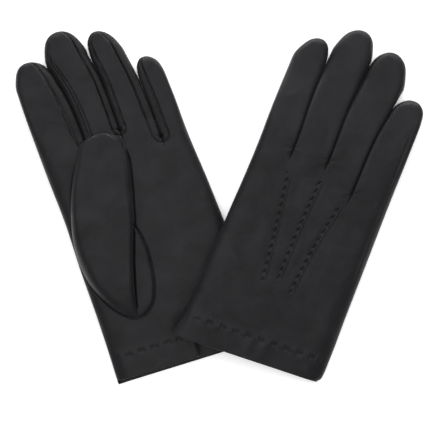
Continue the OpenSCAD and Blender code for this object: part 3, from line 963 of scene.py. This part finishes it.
def thumb_skin_points(inward, rows=74, columns=34):
    """Flat places of the thumb's points, and their heights on its upper and its lower face."""
    s = TIP_FROM * np.linspace(0, 1, rows)
    outline = np.array(THUMB)
    outer = np.stack([along(outline[:, [0, k]], s) for k in (1, 2)], -1)
    crease = np.stack([along(outline[:, [0, k]], s) for k in (3, 4)], -1)
    middle, half = (outer[-1] + crease[-1]) / 2, (crease[-1] - outer[-1]) / 2
    rise_to_tip = middle + (np.array(THUMB_TIP) - middle) * np.sin(TIP_ANGLES)[:, None]
    shrink = (np.cos(TIP_ANGLES) ** 0.92)[:, None] * half
    outer = np.concatenate([outer, rise_to_tip - shrink])
    crease = np.concatenate([crease, rise_to_tip + shrink])
    s = np.concatenate([s, TIP_FROM + (1 - TIP_FROM) * np.sin(TIP_ANGLES)])
    left_over = np.concatenate([np.ones(rows), np.cos(TIP_ANGLES) ** 0.5])
    width = np.linalg.norm(crease - outer, axis=1)
    inside = np.clip(inward / np.maximum(width, 0.1), 0, 0.45)[:, None]
    outer, crease = outer + (crease - outer) * inside, crease + (outer - crease) * inside
    t = spread(columns)
    flat = outer[:, None] + (crease - outer)[:, None] * t[:, None]
    from_outer, from_crease = width[:, None] * t, width[:, None] * (1 - t)
    reach = 11 - 4 * soft_step(0.3, 0.6, s)[:, None]
    round_outer = (1 - np.clip(1 - from_outer / reach, 0, 1) ** 2.6) ** (1 / 1.5)
    round_crease = (1 - np.clip(1 - from_crease / 3.6, 0, 1) ** 2.6) ** (1 / 1.8)
    rise = round_outer * round_crease
    edge = (along(OUTER_EDGE, s)[:, None] * (1 - t) + along(CREASE_EDGE, s)[:, None] * t)
    top = along(THUMB_RISE, s)[:, None] - inward
    under = along(UNDER, s)[:, None] + inward
    slope = 1.2 * (0.5 - t) * soft_step(0.2, 0.5, s)[:, None]
    wave = 0.5 * undulation(flat[..., 0] + 60, flat[..., 1] * 0.8)
    dent = 0.6 * bump_at(s[:, None] - 0.885, 0.05) * rise ** 3
    groove = 0.8 * bump_at(from_crease - 2.0, 0.5) - 0.2 * bump_at(from_crease - 3.4, 1)
    groove = groove * soft_step(0.56, 0.68, s)[:, None]
    tip_ring = np.clip(left_over[:, None] / 0.62, 0, 2)
    groove = groove + 0.45 * bump_at(tip_ring - 1, 0.09) * soft_step(TIP_FROM, 0.93, s)[:, None]
    upper = edge + (top + slope + wave - edge) * rise - (dent + groove) * (inward == 0)
    lower = edge + (under - edge) * rise
    mid = (along(UNDER, s) + along(THUMB_RISE, s))[:, None] / 2
    upper, lower = [mid + (h - mid) * left_over[:, None] for h in (upper, lower)]
    return flat, upper, lower


def bend_with_thumb(piece, glove):
    """Works out the thumb's bend line from its root to its middle, which is not used, and bakes the piece's
    placement into its mesh.
    """
    (x, y), (x_end, y_end) = [to_glove(glove, *place) for place in THUMB_BEND]
    start, end = lay[glove]([x, x_end], [y, y_end], 6)
    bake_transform(piece)


def make_thumb(glove):
    """The thumb's leather and the jersey inside it, each an upper and a lower face."""
    for name, node, slot, material, inward in (
            ("thumb_skin", "thumb_leather", "leather", glove_leather, 0.0),
            ("thumb_lining_skin", "thumb_lining", "lining", jersey, THUMB_INSET)):
        flat, upper, lower = thumb_skin_points(inward)
        grids = [(over_palm(glove, flat[..., 0], flat[..., 1], height), turned)
                 for height, turned in ((upper, glove == "left"), (lower, glove == "right"))]
        piece = skin_mesh(f"{glove}_{name}", grids, material)
        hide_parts(f"{glove}_{node}")
        bend_with_thumb(piece, glove)
    print(glove, "thumb made,", len(piece.data.polygons), "faces")


for glove in GLOVES:
    make_thumb(glove)


# %% Patch that fills the rest of the oval
def thumb_patch(glove):
    """Rings of points from the oval seam inwards, sunk at the seam and beside the crease."""
    ring = oval_points(220)
    heart = np.array(OVAL_HEART)
    shares = np.concatenate([[1, 0.99, 0.98, 0.97, 0.96], np.linspace(0.94, 0.02, 36)])
    flat = heart + (ring - heart)[None] * shares[:, None, None]
    flat = np.concatenate([flat, flat[:, :1]], 1)
    inside = np.clip(seam_distance(flat[..., 0], flat[..., 1], ring), 0, 20)
    crease = np.array([(x, y) for y, x in CREASE_SIDE if 45 < y < 110])
    far = np.full(flat.shape[:2], 1e9)
    for a, b in zip(crease[:-1], crease[1:]):
        t = np.clip(((flat - a) @ (b - a)) / ((b - a) @ (b - a)), 0, 1)
        far = np.minimum(far, np.linalg.norm(flat - a - t[..., None] * (b - a), axis=-1))
    height = -OVAL_DEPTH + 2.5 * (1 - np.exp(-inside / 0.8)) + 0.7 * soft_step(0, 8, inside)
    right_of = flat[..., 0] > along(crease[:, ::-1], flat[..., 1])
    from_crease = np.where(right_of, far, -far)
    height = height - 2.6 * (1 - soft_step(0.2, 1.5, from_crease)) * soft_step(0, 3, inside)
    laid = over_palm(glove, flat[..., 0], flat[..., 1], height)
    piece = skin_mesh(glove + "_thumb_patch", [(laid, glove == "left")], glove_leather)
    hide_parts(glove + "_thumb_base")
    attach(piece, glove + "_hand")
    print(piece.name, len(piece.data.polygons), "faces")


for glove in GLOVES:
    thumb_patch(glove)

# %% [markdown]
# ## The feet of the fourchettes
# Two fourchettes meet below a crotch in a rounded foot, which shows on the palm as a small U. Each
# foot lies in the palm's skin: its rim sinks into the seam and its middle stands level with it. A
# hole could be cut in the palm for it, but a thin piece laid over the sunk seam looks the same.

# %% Crotch feet
def crotch_foot(glove, k):
    """The rounded strip from the U-shaped seam up to where the fingers are cut."""
    bottom, half = FEET[glove][k], FOOT_HALF[k]
    top = min(SPLITS[k], SPLITS[k + 1])
    rows = np.concatenate([bottom + half * (1 - np.cos(np.linspace(0.12, math.pi / 2, 12))),
                           np.arange(bottom + half + 0.8, top, 0.8), [top]])
    rows = rows[rows <= top]
    reach = half * np.sqrt(np.clip(1 - np.clip((bottom + half - rows) / half, 0, 1) ** 2, 0.01, 1))
    t = np.linspace(-1, 1, 19)
    y = np.broadcast_to(rows[:, None], (len(rows), len(t)))
    x = along(PATTERN[glove]["edges"][k + 1], y) + reach[:, None] * t
    rim = np.minimum(reach[:, None] * (1 - np.abs(t)), y - bottom)
    height = -0.4 + 0.62 * (1 - np.exp(-np.maximum(rim, 0) / 0.7))
    level = skin_at(glove, x, y, "palm")
    side = 1 if glove == "left" else -PALM_TO_THUMB
    piece = skin_mesh(f"{glove}_foot_{FINGERS[k]}_{FINGERS[k + 1]}",
                      [(lay[glove](x, y, level + side * height), glove == "right")], strip_leather)
    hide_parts(f"{glove}_crotch_{FINGERS[k]}_{FINGERS[k + 1]}")
    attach(piece, glove + "_hand")


for glove in GLOVES:
    for k in range(3):
        crotch_foot(glove, k)
print("six feet made")

# %% [markdown]
# ## The lining of the hand
# A tube of jersey hangs inside the hand. It shows at the wrist, where it is sewn to the turned hem.
# The strips of the hand are used again, moved inwards: a second shape would never fit as well.

# %% Hand lining
LINING_FROM, LINING_STEP = 12, 4.0      # first row over the wrist's edge, and the rows' distance


def hand_lining(glove):
    """The jersey tube, from the turned hem to where the fingers are cut."""
    grids = []
    for i in range(4):
        for face in ("palm", "back"):
            wrist = PATTERN[glove]["wrist"][face == "palm"]
            rows = np.unique(np.append(np.arange(wrist + LINING_FROM, SPLITS[i], LINING_STEP), SPLITS[i]))
            x, y, z = strip_grid(glove, i, rows, face, spread(14), HAND_INSET)
            grids.append((lay[glove](x, y, z), face != PATTERN[glove]["up"]))
    piece = skin_mesh(glove + "_hand_jersey", grids, jersey)
    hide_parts(glove + "_hand_lining")
    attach(piece, glove + "_hand")
    print(piece.name, len(piece.data.polygons), "faces")


for glove in GLOVES:
    hand_lining(glove)

# %% [markdown]
# ## Hand sewing
# The hem is held by prick stitches: each shows as a short sunk bar with the skin puckered beside
# it. The three points on the back are narrow tucks, oversewn with slanting stitches so that they
# look like a fine rope. Stitches could be a bump of the skin, but a thread has to catch the light as
# a thread does. So a stitch is a short tube that dives under the skin at both of its ends.

# %% A stitch
THREAD_RADIUS = 0.3


def tube_along(path, radius, sides=6):
    """Points of a tube around a path, its two ends narrowed."""
    path = np.asarray(path, float)
    run = np.gradient(path, axis=0)
    run /= np.linalg.norm(run, axis=1)[:, None]
    side = np.cross(run, (0, 0, 1.0))
    side /= np.maximum(np.linalg.norm(side, axis=1), 1e-9)[:, None]
    up = np.cross(side, run)
    angles = np.linspace(0, 2 * math.pi, sides + 1)
    size = np.full(len(path), radius)
    size[[0, -1]] *= 0.35
    return path[:, None] + size[:, None, None] * (
        np.cos(angles)[None, :, None] * side[:, None] + np.sin(angles)[None, :, None] * up[:, None])


def stitch(glove, a, b, face, stand, dive=0.9, steps=7):
    """A thread from a to b on the skin, in pattern mm, that dives in at its ends."""
    t = np.linspace(0, 1, steps)
    x, y = a[0] + (b[0] - a[0]) * t, a[1] + (b[1] - a[1]) * t
    side = 1 if face == PATTERN[glove]["up"] else -1
    level = skin_at(glove, x, y, face) + side * (stand - dive * np.abs(2 * t - 1) ** 4)
    return tube_along(lay[glove](x, y, level), THREAD_RADIUS * MM)


# %% Hem stitches
thread_rng = np.random.default_rng(5)
EACH_SIDE = 6                # stitches on each side of the middle
VENT_MOUTH = (-1.5, 14)      # no stitch between these two, on the palm's hem


def hem_stitches(glove):
    """One stitch per pitch along both hems, each a little longer or more tilted than the next."""
    tubes = []
    for face in ("palm", "back"):
        y = PATTERN[glove]["wrist"][face == "palm"] + HEM_DEPTH
        for k in range(-EACH_SIDE, EACH_SIDE):
            x = (k + 0.5) * STITCH_PITCH
            in_mouth = face == "palm" and VENT_MOUTH[0] < x < VENT_MOUTH[1]
            if not in_mouth:
                long, tilt = thread_rng.uniform(2.4, 3.1), thread_rng.uniform(-0.2, 0.5)
                tubes.append(stitch(glove, (x - long, y + tilt), (x + long, y - tilt), face, stand=-0.08))
    piece = skin_mesh(glove + "_hem_stitches", [(tube, False) for tube in tubes], sewing)
    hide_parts(glove + "_hem_thread")
    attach(piece, glove + "_hand")
    print(piece.name, len(tubes), "stitches")


for glove in GLOVES:
    hem_stitches(glove)


# %% Points: tucks with slanting stitches
def points_on_back(glove):
    """The three tucks of one glove as raised ridges, and the slanting stitches over them."""
    shift = PATTERN[glove]["sideways"] - PATTERN["right"]["sideways"]
    side = 1 if PATTERN[glove]["up"] == "back" else -1
    grids = []
    for row in POINTING:
        first, last = row[0][1], row[-1][1]
        y = np.arange(first - 2, last + 2, 0.4)
        turn = 2 * math.pi * (y - first) / POINT_PITCH
        ends = soft_step(first - 2, first + 3, y) * (1 - soft_step(last - 3, last + 2, y))
        t = np.linspace(-1, 1, 13)
        middle = pointing_x(row, y) + shift * y + 0.55 - 0.4 * np.cos(turn)
        half = 1.15 * (0.35 + 0.65 * ends)
        x = middle[:, None] + half[:, None] * t
        yy = np.broadcast_to(y[:, None], x.shape)
        slant = np.cos(turn[:, None] - 1.2 * t)
        height = (0.5 + 0.16 * slant) * (1 - t ** 2) ** 0.9 * ends[:, None] - 0.25
        level = skin_at(glove, x, yy, "back")
        grids.append((lay[glove](x, yy, level + side * height * (1 if side > 0 else 0.8)), side < 0))
    tuck = skin_mesh(glove + "_tucks", grids, glove_leather)
    threads = []
    for row in POINTING:
        for y in np.arange(row[0][1], row[-1][1] + 1, POINT_PITCH):
            x = float(pointing_x(row, y)) + shift * y - 0.9
            a, b = (x - 0.5, y - 1.9), (x + 0.5, y + 1.9)
            threads.append(stitch(glove, a, b, "back", stand=0.1, dive=0.7))
    rope = skin_mesh(glove + "_tuck_stitches", [(tube, False) for tube in threads], sewing)
    for piece, slot in ((tuck, "leather"), (rope, "thread")):
        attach(piece, glove + "_hand")
    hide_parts(glove + "_back_points")
    print(glove, "points:", len(threads), "stitches")


for glove in GLOVES:
    points_on_back(glove)
